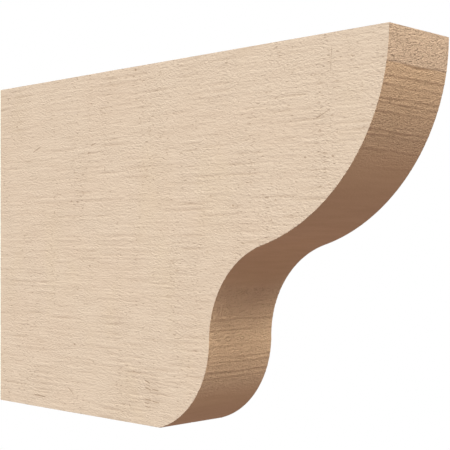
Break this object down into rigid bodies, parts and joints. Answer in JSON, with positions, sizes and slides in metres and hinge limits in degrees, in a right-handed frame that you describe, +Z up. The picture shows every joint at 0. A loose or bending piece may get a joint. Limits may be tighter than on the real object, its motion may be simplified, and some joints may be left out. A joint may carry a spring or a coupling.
{
  "type": "rafter tail",
  "caption": "Solid rough-sawn rafter tail with a square back, a flat top and underside, and an S-curved front that rounds out, hollows and rounds again to the foot.",
  "frame": {"origin": "middle of the base, in the plane of the flat underside, halfway between the back face and the tip and halfway through the thickness", "axes": "+X from the square back face towards the tip, +Y across the thickness, +Z up"},
  "size_m": [0.6096, 0.1016, 0.4064],
  "materials": {
    "timber": "rough-sawn, matt, pale tan"
  },
  "bodies": {
    "root": {"rafter_tail": "timber"}
  },
  "joints": []
}
